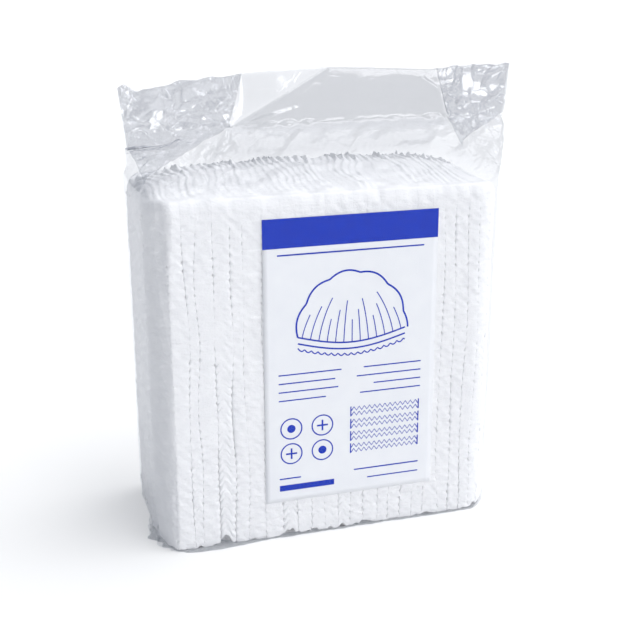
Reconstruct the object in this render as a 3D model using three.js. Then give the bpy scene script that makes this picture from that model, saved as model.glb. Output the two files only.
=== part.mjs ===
// A retail pack of one hundred disposable hairnets, each one a bouffant cap pleated and gathered by
// its elastic into a long narrow strip. The strips stand upright, four rows deep, in a clear film
// bag. Its sides are tucked in between front and back above the caps, as on a carton's gable, and
// its top is pressed flat into a header. A plain label sheet lies between caps and film.
// Millimetres, +Z up, front towards -Y. The origin is the middle of the base, on the floor.
import * as THREE from "three";

// The bag
const bagWidth = 200;
const bagDepth = 96;
const bagCorner = 17; // radius of its upright corners
const filmWall = 1;
const shoulderSlack = 1.7; // from the front row's tops up to where the shoulders begin
const shoulderHeight = 29; // from there up to the pressed line
const headerHeight = 30; // the flat flap above the pressed line
const headerLeft = 105; // reach of the flap's top edge to each side of the middle
const headerRight = 121;
const headerGap = 2.4; // between the flap's front and back layers
const flapFold = 1; // where a flap's end turns into its tucked side
const gussetLeft = 54; // how far inside the bag's side the tucked sides meet on the pressed line
const gussetRight = 16;
const baseRound = 3; // rounding where the walls meet the bottom
const cornerSteps = 6; // facets round one upright corner
const panelSteps = 5; // facets along the straight part of the front and back walls

// The label sheet
const labelWidth = 99;
const labelHeight = 163;
const labelThickness = 0.8;
const labelShift = 9.8; // its middle, right of the bag's middle
const labelBottom = 22.4; // its lower edge, above the floor

// The caps
const columns = 25;
const clearance = 0.3; // between neighbouring solids
const capLength = 196; // a folded cap of the front row
const columnTaper = 0.14; // by this share the left columns are wider than the mean, the right ones narrower
const rufflePitch = 10.4; // one facetted wave stands for two of the elastic's gathers
const ruffleDepth = 1.3;
const capChamfer = 4; // where the welded ends narrow
const endRagged = 2.5; // how unevenly the ends line up
const topBeat = 2.4; // radians of that unevenness from one column to the next, at the top
const bottomBeat = 1.9; // and at the bottom
const grooveDepth = 5; // between the tops of neighbouring caps in the inner rows

// How much longer the caps of each row stand up in the middle of the pack, in shares of crownRise
const crownRise = 10;
const rows = [
  { name: "front", crown: 0, outer: true },
  { name: "second", crown: 0.75, outer: false },
  { name: "third", crown: 1, outer: false },
  { name: "back", crown: 0.2, outer: true },
];

// The bag's sections from the floor up. rise is a share of the stage it is in, left and right are
// shares of the way from the bag's side to the flap's reach, flat is how far the depth has closed.
const bagSections = [
  { stage: "shoulder", rise: 0, left: 0, right: 0, flat: 0 },
  { stage: "shoulder", rise: 0.5, left: 0.25, right: 0.4, flat: 0.47 },
  { stage: "shoulder", rise: 1, left: 0.4, right: 0.86, flat: 1 },
  { stage: "header", rise: 0.5, left: 0.8, right: 0.97, flat: 1 },
  { stage: "header", rise: 1, left: 1, right: 1, flat: 1 },
];

// The flap's top edge seen from the front: across runs from -1 at the left to 1 at the right, and
// drop is a share of headerHeight below its highest point.
const flapDrop = [
  { across: -1, drop: 0.27 },
  { across: -0.48, drop: 0.12 },
  { across: -0.25, drop: 0.05 },
  { across: 0, drop: 0 },
  { across: 0.44, drop: 0.1 },
  { across: 0.7, drop: 0.07 },
  { across: 1, drop: 0.01 },
];

// The flap's wave seen from above, in shares of maxSway towards the back. It is straight across
// each gusset, so that its four layers stay clear of each other.
const maxSway = 5;
const flapSway = [
  { across: -1, sway: 0.8 },
  { across: -0.18, sway: -0.7 },
  { across: 0.05, sway: 0.2 },
  { across: 0.28, sway: 0.9 },
  { across: 1, sway: 0 },
];

// What follows from those sizes
const frontInside = bagDepth / 2 - filmWall;
const blockHalfWidth = bagWidth / 2 - filmWall - clearance;
const blockFront = frontInside - 2 * clearance - labelThickness;
const blockBack = frontInside - clearance;
const blockCorner = bagCorner - filmWall;
const blockDepth = blockFront + blockBack;
const rowDepth = blockDepth / rows.length;
const capFloor = filmWall + clearance;
const panelEdge = bagWidth / 2 - 2 * bagCorner;
const origin = new THREE.Vector2();
const bodyHeight = capFloor + capLength + shoulderSlack;

const capColour = new THREE.MeshStandardMaterial({ color: 0xf1f2f5, roughness: 0.9, metalness: 0 });
const innerColour = new THREE.MeshStandardMaterial({ color: 0xeceef2, roughness: 0.9, metalness: 0 });
const labelColour = new THREE.MeshStandardMaterial({ color: 0xe9ebf1, roughness: 0.6, metalness: 0 });
const filmColour = new THREE.MeshStandardMaterial({
  color: 0xe6eaf0,
  roughness: 0.15,
  metalness: 0,
  transparent: true,
  opacity: 0.25,
});

// The value of one named column of a table at a place between two of its rows.
function tableAt(table, key, column, place) {
  const last = table.length - 1;
  const upper = Math.min(last, Math.max(1, table.findIndex((row) => row[key] >= place)));
  const [a, b] = [table[upper - 1], table[upper]];
  const share = (place - a[key]) / (b[key] - a[key]);
  return a[column] + (b[column] - a[column]) * Math.min(1, Math.max(0, share));
}

// The left edge of a column, the last one's right edge being the block's right side.
function columnEdge(column) {
  const share = column / columns;
  return blockHalfWidth * (2 * share - 1 + 2 * columnTaper * share * (1 - share));
}

// How far the block's rounded upright corner lies behind its flat front or back at x.
function cornerSetback(x) {
  const into = Math.max(0, Math.abs(x) - (blockHalfWidth - blockCorner));
  return blockCorner - Math.sqrt(Math.max(0, blockCorner ** 2 - into ** 2));
}

// A number from 0 to 1 that differs from one column to the next without a visible order.
function unevenness(column, beat) {
  return (1 + Math.sin(column * beat)) / 2;
}

// How high a cap's top stands above the floor, and how far its lower end is off the bag's bottom.
function capTop(column, row) {
  const middle = (columnEdge(column) + columnEdge(column + 1)) / 2 / blockHalfWidth;
  const crown = crownRise * row.crown * (1 - middle ** 4);
  return capFloor + capLength + crown - endRagged * unevenness(column, topBeat);
}

function capLift(column) {
  const atSide = column === 0 || column === columns - 1;
  return atSide ? baseRound : endRagged * unevenness(column, bottomBeat);
}

// A cap of an outer row: its side view has the gathers' waves on the outward edge. u is the depth
// outward from its hidden edge and v the height; the extrusion is the cap's width. turn is -1 for a
// cap that is turned to face the front, whose left is then the mesh's right.
function outerCap(column, row, depth, turn) {
  const width = columnEdge(column + 1) - columnEdge(column) - clearance;
  const bottom = capFloor + capLift(column);
  const height = capTop(column, row) - bottom;
  const waves = Math.round((height - 2 * capChamfer) / rufflePitch);
  const step = (height - 2 * capChamfer) / (2 * waves);
  const starts = column % 2;
  const side = new THREE.Shape();
  side.moveTo(0, 0);
  side.lineTo(depth - capChamfer, 0);
  for (let i = 0; i <= 2 * waves; i += 1) {
    const inward = i % 2 === starts ? 0 : ruffleDepth;
    side.lineTo(depth - inward, capChamfer + i * step);
  }
  side.lineTo(depth - capChamfer, height);
  side.lineTo(0, height);
  side.closePath();
  const solid = new THREE.ExtrudeGeometry(side, { depth: width, bevelEnabled: false, steps: 1 });
  const place = solid.getAttribute("position");
  const middle = (columnEdge(column) + columnEdge(column + 1)) / 2;
  for (let i = 0; i < place.count; i += 1) {
    const [u, v, t] = [place.getX(i), place.getY(i), place.getZ(i)];
    const across = t - width / 2;
    const closing = (depth - cornerSetback(middle + turn * across)) / depth;
    place.setXYZ(i, across, u * closing, v);
  }
  solid.computeVertexNormals();
  return { solid, middle, bottom };
}

// A row that other rows hide: its caps are pressed together into one block with a toothed top.
function innerRow(row) {
  const top = new THREE.Shape();
  const [left, right] = [columnEdge(0), columnEdge(columns)];
  top.moveTo(left, capFloor + baseRound);
  top.lineTo(left + baseRound, capFloor);
  top.lineTo(right - baseRound, capFloor);
  top.lineTo(right, capFloor + baseRound);
  for (let column = columns - 1; column >= 0; column -= 1) {
    const [a, b] = [columnEdge(column), columnEdge(column + 1)];
    const height = capTop(column, row);
    top.lineTo(b, height - grooveDepth);
    top.lineTo((a + b) / 2, height);
  }
  top.lineTo(left, capTop(0, row) - grooveDepth);
  top.closePath();
  const depth = rowDepth - clearance;
  const solid = new THREE.ExtrudeGeometry(top, { depth, bevelEnabled: false, steps: 1 });
  solid.rotateX(Math.PI / 2);
  solid.translate(0, depth / 2, 0);
  return solid;
}

// A corner at a point between the directions to its neighbours, rounded by an arc that touches both
// sides at the tangent length.
function roundCorner(corner, before, after, tangent) {
  const toBefore = before.clone().sub(corner).normalize();
  const toAfter = after.clone().sub(corner).normalize();
  const half = toBefore.angleTo(toAfter) / 2;
  const radius = tangent * Math.tan(half);
  const inward = toBefore.clone().add(toAfter).normalize();
  const centre = corner.clone().addScaledVector(inward, radius / Math.sin(half));
  const first = corner.clone().addScaledVector(toBefore, tangent).sub(centre);
  const last = corner.clone().addScaledVector(toAfter, tangent).sub(centre);
  const turn = Math.atan2(first.cross(last), first.dot(last));
  const arc = [];
  for (let i = 0; i <= cornerSteps; i += 1) {
    arc.push(first.clone().rotateAround(origin, (turn * i) / cornerSteps).add(centre));
  }
  return arc;
}

// One closed ring of the film: its front and back lie half away from the middle, and each side runs
// from both corners to an apex that is tucked in between them. inset moves every wall inwards.
function filmRing({ left, right, half, tangent, tuckLeft, tuckRight, inset, z, swayed, dropped }) {
  const reach = (side, tuck) => {
    const slope = Math.hypot(half, tuck);
    return {
      corner: side - (inset * (slope + tuck)) / half,
      apex: side - tuck - (inset * slope) / half,
    };
  };
  const ends = { left: reach(left, tuckLeft), right: reach(right, tuckRight) };
  const deep = half - inset;
  const apexRight = new THREE.Vector2(ends.right.apex, 0);
  const apexLeft = new THREE.Vector2(-ends.left.apex, 0);
  const backRight = new THREE.Vector2(ends.right.corner, deep);
  const backLeft = new THREE.Vector2(-ends.left.corner, deep);
  const frontLeft = new THREE.Vector2(-ends.left.corner, -deep);
  const frontRight = new THREE.Vector2(ends.right.corner, -deep);
  const panel = [];
  for (let i = 0; i <= panelSteps; i += 1) {
    panel.push(panelEdge * ((2 * i) / panelSteps - 1));
  }
  const outline = [
    apexRight,
    ...roundCorner(backRight, apexRight, backLeft, tangent),
    ...panel.toReversed().map((x) => new THREE.Vector2(x, deep)),
    ...roundCorner(backLeft, backRight, apexLeft, tangent),
    apexLeft,
    ...roundCorner(frontLeft, apexLeft, frontRight, tangent),
    ...panel.map((x) => new THREE.Vector2(x, -deep)),
    ...roundCorner(frontRight, frontLeft, apexRight, tangent),
  ];
  return outline.map(({ x, y }) => {
    const across = (2 * x + left - right) / (left + right);
    const sway = swayed * maxSway * tableAt(flapSway, "across", "sway", across);
    const drop = dropped * headerHeight * tableAt(flapDrop, "across", "drop", across);
    return new THREE.Vector3(x, y + sway, z - drop);
  });
}

// The film's rings from the bottom up, for its outside (inset 0) or its inside (inset filmWall).
function filmRings(inset) {
  const upright = {
    left: bagWidth / 2,
    right: bagWidth / 2,
    half: bagDepth / 2,
    tangent: bagCorner - inset,
    tuckLeft: 0,
    tuckRight: 0,
    swayed: 0,
    dropped: 0,
    inset,
  };
  const foot = {
    ...upright,
    left: upright.left - baseRound,
    right: upright.right - baseRound,
    half: upright.half - baseRound,
    tangent: upright.tangent - baseRound,
  };
  const rings = [
    filmRing({ ...foot, z: inset }),
    filmRing({ ...upright, z: inset + baseRound }),
  ];
  for (const section of bagSections) {
    const inHeader = section.stage === "header";
    const start = bodyHeight + (inHeader ? shoulderHeight : 0);
    const rise = section.rise * (inHeader ? headerHeight : shoulderHeight);
    const left = bagWidth / 2 + (headerLeft - bagWidth / 2) * section.left;
    const right = bagWidth / 2 + (headerRight - bagWidth / 2) * section.right;
    rings.push(
      filmRing({
        left,
        right,
        half: bagDepth / 2 + (filmWall + headerGap / 2 - bagDepth / 2) * section.flat,
        tangent: (bagCorner - inset) * (1 - section.flat) + flapFold * section.flat,
        tuckLeft: left - bagWidth / 2 + gussetLeft * section.flat,
        tuckRight: right - bagWidth / 2 + gussetRight * section.flat,
        inset,
        z: start + rise - (inHeader ? 0 : inset),
        swayed: section.flat,
        dropped: inHeader ? section.rise : 0,
      }),
    );
  }
  return rings;
}

// The bag: an outer and an inner skin joined round the flap's mouth, each with its own bottom.
function filmBag() {
  const outer = filmRings(0);
  const inner = filmRings(filmWall);
  const points = [];
  const faces = [];
  const put = (ring) => {
    points.push(...ring);
    return points.length - ring.length;
  };
  const count = outer[0].length;
  const join = (low, high, outward) => {
    for (let i = 0; i < count; i += 1) {
      const j = (i + 1) % count;
      const [a, b] = outward ? [i, j] : [j, i];
      faces.push([low + a, low + b, high + b], [low + a, high + b, high + a]);
    }
  };
  const close = (start, ring, facesUp) => {
    const flat = ring.map((p) => new THREE.Vector2(p.x, p.y));
    for (const [a, b, c] of THREE.ShapeUtils.triangulateShape(flat, [])) {
      faces.push(facesUp ? [start + a, start + b, start + c] : [start + a, start + c, start + b]);
    }
  };
  const outerStarts = outer.map(put);
  const innerStarts = inner.map(put);
  for (let i = 1; i < outer.length; i += 1) {
    join(outerStarts[i - 1], outerStarts[i], true);
    join(innerStarts[i - 1], innerStarts[i], false);
  }
  join(outerStarts.at(-1), innerStarts.at(-1), true);
  close(outerStarts[0], outer[0], false);
  close(innerStarts[0], inner[0], true);
  const solid = new THREE.BufferGeometry();
  const corners = faces.flat().flatMap((i) => points[i].toArray());
  solid.setAttribute("position", new THREE.Float32BufferAttribute(corners, 3));
  solid.computeVertexNormals();
  return solid;
}

function labelSheet() {
  return new THREE.BoxGeometry(labelWidth, labelThickness, labelHeight);
}

function named(name, geometry, material) {
  const mesh = new THREE.Mesh(geometry, material);
  mesh.name = name;
  return mesh;
}

const pack = new THREE.Group();
pack.name = "hairnet_pack";
pack.add(named("film_bag", filmBag(), filmColour));

const label = named("label_sheet", labelSheet(), labelColour);
label.position.set(labelShift, clearance + labelThickness / 2 - frontInside, labelBottom + labelHeight / 2);
pack.add(label);

// Each row is a group whose origin is on the row's inward face. The front row is turned to face -Y.
rows.forEach((row, index) => {
  const group = new THREE.Group();
  pack.add(group);
  if (!row.outer) {
    const solid = named(`caps_${row.name}_row`, innerRow(row), innerColour);
    solid.position.y = -blockFront + rowDepth * (index + 0.5);
    group.add(solid);
    return;
  }
  const facesFront = index === 0;
  const hidden = facesFront ? blockFront - rowDepth : blockBack - rowDepth;
  for (let column = 0; column < columns; column += 1) {
    const { solid, middle, bottom } = outerCap(column, row, rowDepth - clearance / 2, facesFront ? -1 : 1);
    const number = String(column + 1).padStart(2, "0");
    const cap = named(`cap_${row.name}_${number}`, solid, capColour);
    cap.rotation.z = facesFront ? Math.PI : 0;
    const inward = hidden + clearance / 2;
    cap.position.set(middle, facesFront ? -inward : inward, bottom);
    group.add(cap);
  }
});

export default pack;
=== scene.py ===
"""Looks of a retail pack of pleated disposable hairnets in a clear film bag. Metres, +Z up."""

import math

import bmesh
import bpy
import numpy as np
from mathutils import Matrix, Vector


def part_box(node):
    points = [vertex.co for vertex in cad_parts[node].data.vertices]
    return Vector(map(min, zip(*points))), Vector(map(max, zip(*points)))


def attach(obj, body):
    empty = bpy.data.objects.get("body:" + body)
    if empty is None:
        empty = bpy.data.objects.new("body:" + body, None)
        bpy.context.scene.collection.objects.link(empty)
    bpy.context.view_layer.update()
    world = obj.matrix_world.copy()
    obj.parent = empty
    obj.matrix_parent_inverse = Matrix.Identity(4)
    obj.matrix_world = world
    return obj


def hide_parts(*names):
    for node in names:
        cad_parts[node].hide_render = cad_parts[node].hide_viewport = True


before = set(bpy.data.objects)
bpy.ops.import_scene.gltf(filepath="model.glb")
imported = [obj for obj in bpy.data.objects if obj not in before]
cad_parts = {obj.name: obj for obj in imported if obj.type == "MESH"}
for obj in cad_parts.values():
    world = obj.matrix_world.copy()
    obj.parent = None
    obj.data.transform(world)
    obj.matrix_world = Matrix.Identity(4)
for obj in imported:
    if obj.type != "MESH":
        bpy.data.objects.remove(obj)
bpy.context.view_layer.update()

MM = 0.001

# The photograph's view
FRAME_PIXELS = 640
FOCAL_PIXELS = 1095
SENSOR_MM = 36.0
VIEW_AZIMUTH = math.radians(-17.3)
VIEW_ELEVATION = math.radians(18.0)
VIEW_DISTANCE = 642 * MM
VIEW_TARGET = Vector((6.2, 0, 112.5)) * MM

# The light
SKY_STRENGTH = 0.88
SKY_TILT = 0.3  # how much brighter the sky is on the right than on the left
SKY_STOPS = ((0.0, (0.10, 0.125, 0.17)), (0.35, (0.41, 0.45, 0.52)), (0.8, (0.95, 0.965, 0.99)))
KEY_DIRECTION = (0.62, -0.12, 0.9)
KEY_STRENGTH = 2.2
KEY_ANGLE = 65
KEY_COLOUR = (1.0, 1.0, 1.0)
FRONT_DIRECTION = (0.45, -1.0, 0.16)
FRONT_STRENGTH = 0.92
FRONT_ANGLE = 30
FRONT_COLOUR = (1.0, 0.988, 0.968)
FLOOR_GLOW = 0.27
FLOOR_HALF = 15.0

# The caps
COLUMNS = 25
GATHER_PITCH = 4.6 * MM
PITCH_SPREAD = 0.06 * MM  # how much the gathers at one seam differ in pitch from the next one's
NOTCH = 2.1 * MM  # how far a gather's valley opens a gaping seam
VALLEY = 0.38 * MM  # how deep the valley is across the cap's face
EDGE_ROUND = 0.55 * MM  # rounding of a cap's long edges
WIDEST_ROUND = 0.45  # the most of a cap's half width that its rounded edge and a notch take
SEAM_WANDER = 0.9 * MM  # how far the seams between caps stray sideways
FACE_WANDER = 0.3 * MM  # how unevenly the caps' faces lie
GAPING_SEAMS = (4, 5)
# How far seams of the front row lie to one side of the even spacing, in millimetres
SEAM_SHIFTS = {2: 0.4, 3: -3.2, 4: -2.4, 5: -2.1, 6: -3.1, 7: -2.4, 8: -1.0}
# Where the lower ends leave a gap: millimetres across, and the gap's height
GAPS_BELOW = ((-63, 6.0), (-26, 2.2), (58, 1.5))
GAP_WIDTH = 2.6  # millimetres
BLOCK_CORNER = 16 * MM  # rounding of the block's upright corners
LEFT_EDGE = 88.8 * MM  # the front face ends here on the left, and the outer caps lean back
LEFT_DEPTH = 19.5 * MM  # how far they lean back at the block's end
LEFT_EDGE_TOP = 3 * MM  # how much nearer to the middle that edge ends at the top
SLANT_POWER = 1.75  # 1 is a flat slanting face with a hard edge, more makes it hollow out from the edge
END_ROUND = 9 * MM  # rounding of the block's top towards its two ends
FRONT_SEED = 1
BACK_SEED = 2
SIDE_TOP = 197.0 * MM
SIDE_SEED = 5
ROW_GAP = 0.02 * MM  # between a row and the plane where it meets the next one
TOP_ROUND = 5 * MM
HIDDEN_DROP = 4.5 * MM  # a strip's hidden back ends this far below its ridged top
TOOTH_PITCH = 4.0 * MM
TOOTH_SEED = 90
CREST_SEED = 81
# Heights of the caps' tops from front to back: millimetres of depth and height
CREST = ((-46, 197.0), (-22, 200.0), (0, 204.0), (20, 206.3), (32, 203.5), (46, 198.0))
FACE_STEPS = 10
EDGE_STEPS = 4
SIDE_STEPS = 18
TOP_STEPS = 16
BLOCK_X_STEPS, BLOCK_Y_STEPS, BLOCK_Z_STEPS = COLUMNS * 16, 20, 220
SHARP_ANGLE = 55  # degrees
FRONT_ROWS = 290
BACK_ROWS = 170

# The label
LABEL_GRID = (34, 56)
PAPER_THICKNESS = 0.15 * MM
INK_STAND_OFF = 0.06 * MM
CIRCLE_POINTS = 56

# The film
FILM_STAND_OFF = 0.5 * MM  # between the CAD wall's outside and the film's mean surface
BODY_HEIGHT = 199 * MM
PRESS_HEIGHT = 228 * MM
FOOT_RADIUS = 1.2 * MM
FOLD_RADIUS = 3.6 * MM  # of the fold over the caps' front and back top edges
GABLE_LENGTH = 55 * MM
BAG_CORNER = 17 * MM
FLAP_HALF = 0.9 * MM
TUCK_LEFT = -46 * MM  # the points on the pressed line where the side tucks end
TUCK_RIGHT = 83 * MM
TUCK_LEAN_LEFT = 9 * MM  # how far each tuck's inner fold strays inward or outward up the flap
TUCK_LEAN_RIGHT = -8 * MM
PRESSED_LEFT = -101 * MM
PRESSED_RIGHT = 118 * MM
FLAP_LEFT = -104.5 * MM
FLAP_RIGHT = 120.5 * MM
PANEL_COUNT, CORNER_COUNT, GUSSET_COUNT = 190, 14, 30
FOOT_LEVELS, BODY_LEVELS, FOLD_LEVELS, GABLE_LEVELS, FLAP_LEVELS = 7, 44, 10, 37, 31
FOOT_HEIGHT = 34 * MM  # below this height the levels lie closer together
FOOT_PITCH = 1.4 * MM
# The flap's top edge, how far it stands towards the back, and how the pressed line dips: millimetres
# across and the value
FLAP_TOP = (
    (-105, 248.5), (-100, 251.5), (-95, 247.5), (-84, 249.5), (-71, 252.6), (-46, 254.5), (-20, 256.4),
    (8, 257.7), (35, 256.6), (58, 255.4), (71, 254.8), (90, 256.2), (121, 257.4),
)
FLAP_SWAY = (
    (-105, 3.0), (-80, 2.4), (-60, 0.4), (-46, -1.0), (-20, -2.2), (10, -0.6), (45, 1.6), (80, 1.8),
    (121, 0.4),
)
PRESSED_DIP = ((-103, -12), (-83, -10), (-60, -4), (-46, 0), (118, 0))
FACET_FOLD = ((-41, 56), (9, 84))
FACET_LEAN = 0.25
# The film's tints at grey 0 and 1, and how grey its parts are
FILM_TINTS = ((0.92, 0.923, 0.932), (0.76, 0.765, 0.78))
# The tucked ends are paler than the middle: partly the film's own tone, partly a painted stand-in for
# the glints of their crumples.
END_TONE_AND_PAINTED_GLINT_GREYS = (0.21, 0.35)  # the tucked ends, left and right
GABLE_GREY = 0.5  # the gable's front
# The flap's upper left half is painted paler: a painted highlight on the facet that leans back there.
FACET_PAINTED_HIGHLIGHT_GREY = 0.08  # the flap's upper left half
# The share of light that the film mirrors: looked at square and along it, and more in gable and flap
FILM_GLOSS = (0.022, 0.4)
UPPER_GLOSS = (0.006, 0.042)
BODY_CREASE_HALF = 0.7  # millimetres
# Short level creases beside the label: from and to in millimetres across, height
BODY_CREASES = ((-48, -41, 169.5), (-50, -42, 156.0), (-50, -42, 107.5), (-47, -41, 132.0))
# Sharp creases in the front film: points of millimetres across and up from the fold, width, height
GABLE_CREASES = (
    (((-64, -4), (-68, 16), (-63, 36), (-46, 55)), 1.9, 1.5),
    (((-64, -4), (-61, 15), (-55, 36), (-46, 55)), 1.9, 1.5),
    (((-46, 55), (-66, 76)), 1.8, 1.2),
    (((-46, 55), (-57, 80)), 1.6, 1.0),
    (((-46, 55), (-78, 63)), 1.8, 1.2),
    (((-41, 56), (9, 84)), 1.6, 0.9),
    (((-40, 55), (-8, 63)), 1.5, 0.6),
    (((-8, 47), (-20, 32), (-27, 24)), 2.6, 0.9),
    (((83, 55), (90, 40), (95, 18), (98, 2)), 1.8, 1.3),
    (((83, 55), (77, 70), (66, 77)), 1.8, 1.0),
    (((83, 55), (88, 74)), 1.8, 1.0),
    (((83, 55), (50, 53)), 1.6, 0.7),
    (((100, 50), (103, 25), (99, 5)), 1.8, 1.0),
)

FILM_LO, FILM_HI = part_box("film_bag")
LABEL_LO, LABEL_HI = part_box("label_sheet")
FRONT_BOXES = [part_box(f"cap_front_{i + 1:02d}") for i in range(COLUMNS)]
BACK_BOXES = [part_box(f"cap_back_{i + 1:02d}") for i in range(COLUMNS)]
SECOND_LO, SECOND_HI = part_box("caps_second_row")
THIRD_LO, THIRD_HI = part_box("caps_third_row")
BLOCK_HALF = SECOND_HI.x
BLOCK_FRONT = min(lo.y for lo, _ in FRONT_BOXES)
BLOCK_BACK = max(hi.y for _, hi in BACK_BOXES)
# The planes where the rows meet, in the middle of the gaps that the solids keep
ROW_PLANES = (
    (FRONT_BOXES[0][1].y + SECOND_LO.y) / 2,
    (SECOND_HI.y + THIRD_LO.y) / 2,
    (THIRD_HI.y + BACK_BOXES[0][0].y) / 2,
)
EDGES = np.array([FRONT_BOXES[0][0].x] + [hi.x for _, hi in FRONT_BOXES])
FILM_HALF_WIDTH = 100 * MM - FILM_STAND_OFF
FILM_HALF_DEPTH = FILM_HI.y - FILM_STAND_OFF


# Smooth noise

def random_directions(rng, count):
    direction = rng.normal(size=(count, 3))
    return direction / np.linalg.norm(direction, axis=1)[:, None]


def waves(seed, wavelength, count=24):
    """A smooth random field of about unit size: a sum of plane waves round one wavelength."""
    rng = np.random.default_rng(seed)
    directions = random_directions(rng, count)
    lengths = wavelength * rng.uniform(0.7, 1.5, count)
    k = directions * (2 * math.pi / lengths)[:, None]
    phase = rng.uniform(0, 2 * math.pi, count)

    def field(x, y, z):
        x, y, z = np.broadcast_arrays(x, y, z)
        total = np.zeros(x.shape)
        for (kx, ky, kz), p in zip(k, phase):
            total += np.sin(kx * x + ky * y + kz * z + p)
        return total * math.sqrt(2 / count)

    return field


def folds(seed, wavelength, count=5):
    """Crumpled film: a few triangle waves in random directions, which make flat facets that meet in
    sharp ridges. About -0.5 to 0.5."""
    rng = np.random.default_rng(seed)
    k = random_directions(rng, count) / (wavelength * rng.uniform(0.7, 1.6, count))[:, None]
    phase = rng.uniform(0, 1, count)
    weight = rng.uniform(0.5, 1.0, count)
    bend = waves(seed + 1, wavelength * 2.5)

    def field(x, y, z):
        x, y, z = np.broadcast_arrays(x, y, z)
        warp = 0.35 * bend(x, y, z)
        total = np.zeros(x.shape)
        for (kx, ky, kz), p, w in zip(k, phase, weight):
            t = kx * x + ky * y + kz * z + p + warp
            total += w * (2 * np.abs(t - np.floor(t + 0.5)) - 0.5)
        return total / math.sqrt(count)

    return field


def smooth_step(value, low, high):
    t = np.clip((value - low) / (high - low), 0, 1)
    return t * t * (3 - 2 * t)


def inside(value, low, high, blur):
    """1 between low and high, 0 outside them, with soft ends of width blur."""
    return smooth_step(value, low - blur, low) * (1 - smooth_step(value, high, high + blur))


def table(pairs, x):
    """Reads a table of millimetre pairs at x, in metres."""
    places, values = np.array(pairs, float).T * MM
    return np.interp(x, places, values)


# Meshes

def new_object(name, points, faces, material, smooth=True):
    mesh = bpy.data.meshes.new(name)
    mesh.from_pydata([tuple(p) for p in points], [], faces)
    mesh.validate()
    mesh.update()
    mesh.polygons.foreach_set("use_smooth", [smooth] * len(mesh.polygons))
    mesh.materials.append(material)
    thing = bpy.data.objects.new(name, mesh)
    bpy.context.scene.collection.objects.link(thing)
    return thing


def grid_faces(first, rows, columns, closed=False):
    """Quads of a grid whose points lie row after row. A closed grid's last column meets its first."""
    faces = []
    for r in range(rows - 1):
        for c in range(columns if closed else columns - 1):
            d = (c + 1) % columns
            a, b = first + r * columns, first + (r + 1) * columns
            faces.append((a + c, a + d, b + d, b + c))
    return faces


# The caps' shapes

def corner_setback(x, z, facing):
    """How far the block's upright corners lie behind its flat front or back. The front's left corner
    is a slanting face, the others are round."""
    into = np.clip(np.abs(x) - (BLOCK_HALF - BLOCK_CORNER), 0, BLOCK_CORNER)
    round_corner = BLOCK_CORNER - np.sqrt(BLOCK_CORNER**2 - into**2)
    if facing > 0:
        return round_corner
    edge = LEFT_EDGE - LEFT_EDGE_TOP * smooth_step(z, 150 * MM, 197 * MM)
    slanting = LEFT_DEPTH * np.clip((-x - edge) / (BLOCK_HALF - edge), 0, 1) ** SLANT_POWER
    return np.where(x < 0, slanting, round_corner)


def crown(x, y):
    """The height of the caps' tops: they rise behind the front edge to a crest in the third row."""
    middle = table(CREST, y) + 0.4 * MM * waves(CREST_SEED, 15 * MM)(x, y, 0.0)
    into = np.clip(np.abs(x) - (BLOCK_HALF - END_ROUND), 0, END_ROUND * 0.98)
    rounding = END_ROUND - np.sqrt(END_ROUND**2 - into**2)
    return middle - (middle - SIDE_TOP) * np.abs(x / BLOCK_HALF) ** 4 - rounding


def teeth(x, y):
    """Ridges of folded fabric along the depth, sharpest and highest at the crest."""
    sway = waves(TOOTH_SEED, 45 * MM)(x, y, 0.0) * 1.6
    ripple = waves(TOOTH_SEED + 5, 14 * MM)(x, y, 0.0) * 0.25
    lean = (sway + ripple) * MM
    rng = np.random.default_rng(TOOTH_SEED)
    tooth_count, steep_share = 1000, 0.3
    place = (x + lean) / TOOTH_PITCH + tooth_count // 2
    own = rng.uniform(0.15, 1.0, tooth_count)[np.floor(place).astype(int)]
    along = place % 1
    edge = np.where(along < steep_share, along / steep_share, (1 - along) / (1 - steep_share))
    height = (0.7 + 3.0 * smooth_step(y, 2 * MM, 20 * MM)) * MM
    ragged = 0.75 + 0.2 * waves(TOOTH_SEED + 1, 6 * MM)(x, y, 0.0)
    return height * (own * edge * ragged - 0.55)


def seam(edge, seed, z):
    """Where the seam left of a column lies at a height: the block's two ends stay straight."""
    if edge in (0, COLUMNS):
        return np.full_like(z, EDGES[edge])
    wander = waves(seed * 100 + edge, 75 * MM, 8)(0.0, 0.0, z)
    shift = SEAM_SHIFTS.get(edge, 0.0) if seed == FRONT_SEED else 0.0
    return EDGES[edge] + shift * MM + SEAM_WANDER * 0.6 * wander


def openness(edge, seed, z):
    """How much the seam left of a column gapes: 0 closed, 1 a dark groove."""
    rng = np.random.default_rng(seed * 500 + edge)
    base = rng.uniform(0.45, 0.8)
    low = 1 - smooth_step(z, 40 * MM, 150 * MM)
    if edge in GAPING_SEAMS:
        base = 0.7 + 0.5 * low
    varied = base * (0.75 + 0.3 * waves(seed * 300 + edge, 50 * MM, 8)(0.0, 0.0, z))
    from_end = BLOCK_HALF - abs(EDGES[edge])
    varied = varied * smooth_step(from_end, 4 * MM, 17 * MM)
    return varied * smooth_step(SIDE_TOP - z, 2 * MM, 18 * MM) + 0.05


def gather_phase(edge, seed, z):
    """Where the gathers beside a seam lie: the two caps that meet there are dented together."""
    rng = np.random.default_rng(seed * 700 + edge)
    pitch = GATHER_PITCH + PITCH_SPREAD * rng.uniform(-1, 1)
    drift = waves(seed * 7 + edge, 55 * MM, 8)(0.0, 0.0, z)
    return 2 * math.pi * z / pitch + rng.uniform(0, 2.5) + 0.7 * drift


def under_label(x, z):
    """1 where the label presses on the front row, 0 beside it."""
    return inside(x, LABEL_LO.x, LABEL_HI.x, 1 * MM) * inside(z, LABEL_LO.z, LABEL_HI.z, 1 * MM)


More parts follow.
